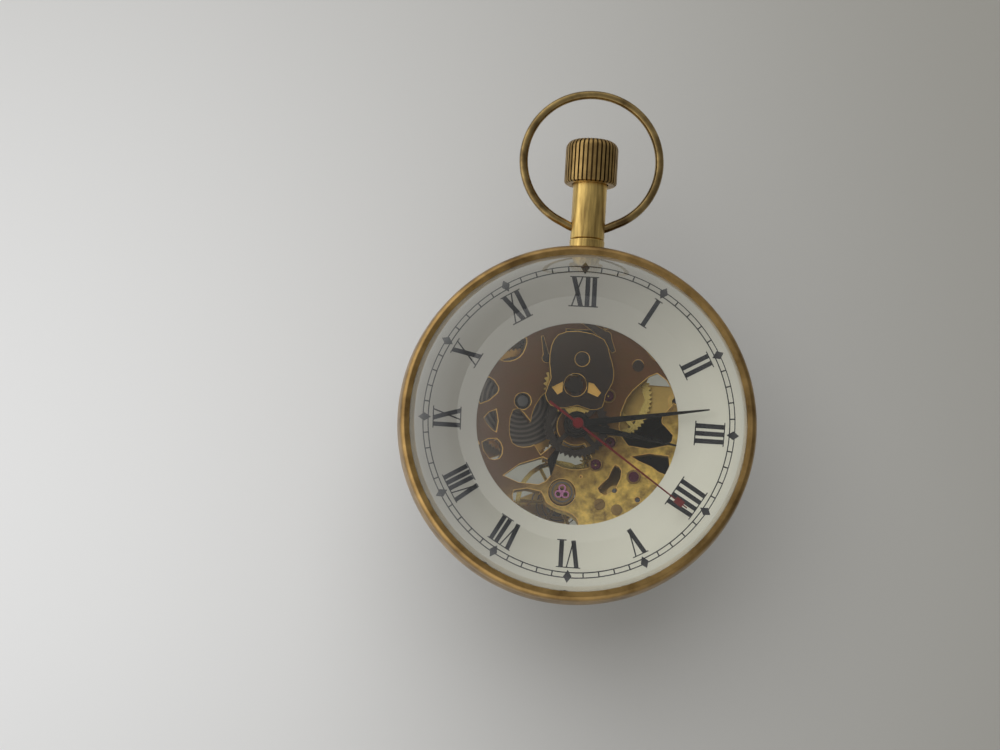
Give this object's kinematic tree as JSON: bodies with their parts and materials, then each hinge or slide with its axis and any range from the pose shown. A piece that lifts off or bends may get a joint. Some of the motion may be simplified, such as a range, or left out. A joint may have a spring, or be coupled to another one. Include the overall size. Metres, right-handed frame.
{
  "type": "paperweight clock",
  "caption": "Round desk clock of two thick glass domes in a brass band, with an open-centre dial, a skeleton watch movement, a fluted winding crown and a ring bow.",
  "frame": {"origin": "centre of the small flat ground on the rear dome, on which the clock lies", "axes": "+Z is the dial's normal, +Y points to 12 o'clock and the crown, +X to 3 o'clock"},
  "size_m": [0.06, 0.0873, 0.0578],
  "materials": {
    "case_brass": "satin",
    "gilt_brass": "satin",
    "copper_plate": "satin",
    "wheel_brass": "polished",
    "steel": "polished",
    "dark_steel": "satin",
    "lens_glass": "polished",
    "dial_enamel": "gloss",
    "black_hand": "gloss",
    "red_hand": "gloss",
    "ruby": "polished",
    "rubber_seal": "matt"
  },
  "bodies": {
    "case": {"case_band": "case_brass", "front_bezel": "case_brass", "rear_bezel": "case_brass", "front_glass": "lens_glass", "rear_glass": "lens_glass", "neck_collar": "case_brass", "neck_tube": "case_brass", "casing_ring": "gilt_brass", "dial": "dial_enamel", "main_plate": "copper_plate", "barrel_bridge": "gilt_brass", "train_bridge": "gilt_brass", "balance_cock": "gilt_brass", "pallet_bridge": "gilt_brass", "barrel_screw_a": "steel", "barrel_screw_b": "steel", "train_screw_a": "steel", "train_screw_b": "steel", "cock_screw": "steel", "pallet_screw": "steel", "shock_setting_front": "steel", "shock_setting_rear": "steel", "third_jewel_front": "ruby", "escape_jewel_front": "ruby", "plate_jewel_front": "ruby", "third_jewel_rear": "ruby", "escape_jewel_rear": "ruby", "minute_wheel_cover": "dark_steel", "click_spring": "steel", "hairspring": "steel"},
    "bow": {"bow_ring": "case_brass"},
    "crown_slide": {"crown_gasket": "rubber_seal"},
    "winding_stem": {"crown": "case_brass", "winding_stem": "steel"},
    "winding_pinion": {"winding_pinion": "dark_steel"},
    "sliding_pinion": {"sliding_pinion": "dark_steel"},
    "setting_lever": {"setting_lever": "steel"},
    "yoke": {"yoke": "steel"},
    "crown_wheel": {"crown_wheel": "steel"},
    "ratchet": {"ratchet_wheel": "steel", "barrel_arbor": "steel"},
    "click": {"click": "steel"},
    "barrel": {"barrel": "gilt_brass", "barrel_cover": "gilt_brass", "mainspring": "steel"},
    "centre": {"centre_wheel": "gilt_brass", "cannon_pinion": "dark_steel", "minute_hand": "black_hand"},
    "third": {"third_wheel": "wheel_brass"},
    "fourth": {"fourth_wheel": "wheel_brass", "seconds_hand": "red_hand"},
    "escape": {"escape_wheel": "wheel_brass"},
    "pallet": {"pallet_fork": "steel"},
    "balance": {"balance_wheel": "wheel_brass"},
    "regulator": {"regulator": "steel"},
    "minute_wheel": {"minute_wheel": "wheel_brass"},
    "hour": {"hour_wheel": "dark_steel", "hour_hand": "black_hand"},
    "setting_wheel": {"setting_wheel": "dark_steel"}
  },
  "joints": [
    {"name": "bow_swing", "type": "hinge", "parent": "case", "child": "bow", "pos_m": [0, 0.03355, 0.02815], "axis": [1, 0, 0], "range_deg": [-105, 105]},
    {"name": "crown_pull", "type": "slide", "parent": "case", "child": "crown_slide", "axis": [0, 1, 0], "range_m": [0, 0.001]},
    {"name": "crown_turn", "type": "hinge", "parent": "crown_slide", "child": "winding_stem", "pos_m": [0, 0, 0.02815], "axis": [0, 1, 0], "continuous": true},
    {"name": "winding_pinion_turn", "type": "hinge", "parent": "case", "child": "winding_pinion", "pos_m": [0, 0, 0.02815], "axis": [0, 1, 0], "continuous": true},
    {"name": "sliding_pinion_slide", "type": "slide", "parent": "case", "child": "sliding_pinion", "axis": [0, 1, 0], "range_m": [-0.0008, 0]},
    {"name": "setting_lever_turn", "type": "hinge", "parent": "case", "child": "setting_lever", "pos_m": [0.0027, 0.0099, 0.02865], "axis": [0, 0, 1], "range_deg": [-22.5, 0]},
    {"name": "yoke_turn", "type": "hinge", "parent": "case", "child": "yoke", "pos_m": [-0.0036, 0.0072, 0.02865], "axis": [0, 0, 1], "range_deg": [-20, 0]},
    {"name": "crown_wheel_turn", "type": "hinge", "parent": "case", "child": "crown_wheel", "pos_m": [-0.0026, 0.0086, 0.02865], "axis": [0, 0, 1], "continuous": true},
    {"name": "ratchet_turn", "type": "hinge", "parent": "case", "child": "ratchet", "pos_m": [-0.0059, 0.0024, 0.02865], "axis": [0, 0, 1], "continuous": true},
    {"name": "click_lift", "type": "hinge", "parent": "case", "child": "click", "pos_m": [-0.0096, 0.0056, 0.02865], "axis": [0, 0, 1], "range_deg": [0, 10]},
    {"name": "centre_turn", "type": "hinge", "parent": "case", "child": "centre", "pos_m": [0, 0, 0.02865], "axis": [0, 0, -1], "continuous": true},
    {"name": "barrel_turn", "type": "hinge", "parent": "case", "child": "barrel", "pos_m": [-0.0059, 0.0024, 0.02865], "axis": [0, 0, -1], "continuous": true},
    {"name": "third_turn", "type": "hinge", "parent": "case", "child": "third", "pos_m": [0.0033, 0.0035, 0.02865], "axis": [0, 0, -1], "continuous": true},
    {"name": "seconds_turn", "type": "hinge", "parent": "case", "child": "fourth", "pos_m": [0, 0, 0.02865], "axis": [0, 0, -1], "continuous": true},
    {"name": "escape_turn", "type": "hinge", "parent": "case", "child": "escape", "pos_m": [0.0024, -0.004, 0.02865], "axis": [0, 0, -1], "continuous": true},
    {"name": "minute_wheel_turn", "type": "hinge", "parent": "case", "child": "minute_wheel", "pos_m": [-0.0004, 0.0044, 0.02865], "axis": [0, 0, -1], "continuous": true},
    {"name": "hour_turn", "type": "hinge", "parent": "case", "child": "hour", "pos_m": [0, 0, 0.02865], "axis": [0, 0, -1], "continuous": true},
    {"name": "setting_wheel_turn", "type": "hinge", "parent": "case", "child": "setting_wheel", "pos_m": [0.00237, 0.00748, 0.02865], "axis": [0, 0, -1], "continuous": true},
    {"name": "pallet_rock", "type": "hinge", "parent": "case", "child": "pallet", "pos_m": [0.00088, -0.00545, 0.02865], "axis": [0, 0, 1], "range_deg": [-5, 5]},
    {"name": "balance_swing", "type": "hinge", "parent": "case", "child": "balance", "pos_m": [-0.0011, -0.00735, 0.02865], "axis": [0, 0, 1], "range_deg": [-270, 270]},
    {"name": "regulator_turn", "type": "hinge", "parent": "case", "child": "regulator", "pos_m": [-0.0011, -0.00735, 0.02865], "axis": [0, 0, 1], "range_deg": [-15, 15]}
  ],
  "couplings": [
    {"joint": "winding_pinion_turn", "follows": "crown_turn", "ratio": 1},
    {"joint": "crown_wheel_turn", "follows": "crown_turn", "ratio": 0.4375},
    {"joint": "ratchet_turn", "follows": "crown_turn", "ratio": -0.35},
    {"joint": "sliding_pinion_slide", "follows": "crown_pull", "ratio": -0.8},
    {"joint": "setting_lever_turn", "follows": "crown_pull", "rad_per_m": -370},
    {"joint": "yoke_turn", "follows": "crown_pull", "rad_per_m": -330},
    {"joint": "third_turn", "follows": "centre_turn", "ratio": -8},
    {"joint": "seconds_turn", "follows": "centre_turn", "ratio": 60},
    {"joint": "escape_turn", "follows": "centre_turn", "ratio": -600},
    {"joint": "barrel_turn", "follows": "centre_turn", "ratio": -0.15385},
    {"joint": "minute_wheel_turn", "follows": "centre_turn", "ratio": -0.33333},
    {"joint": "hour_turn", "follows": "centre_turn", "ratio": 0.083333},
    {"joint": "setting_wheel_turn", "follows": "centre_turn", "ratio": 1.3333}
  ]
}
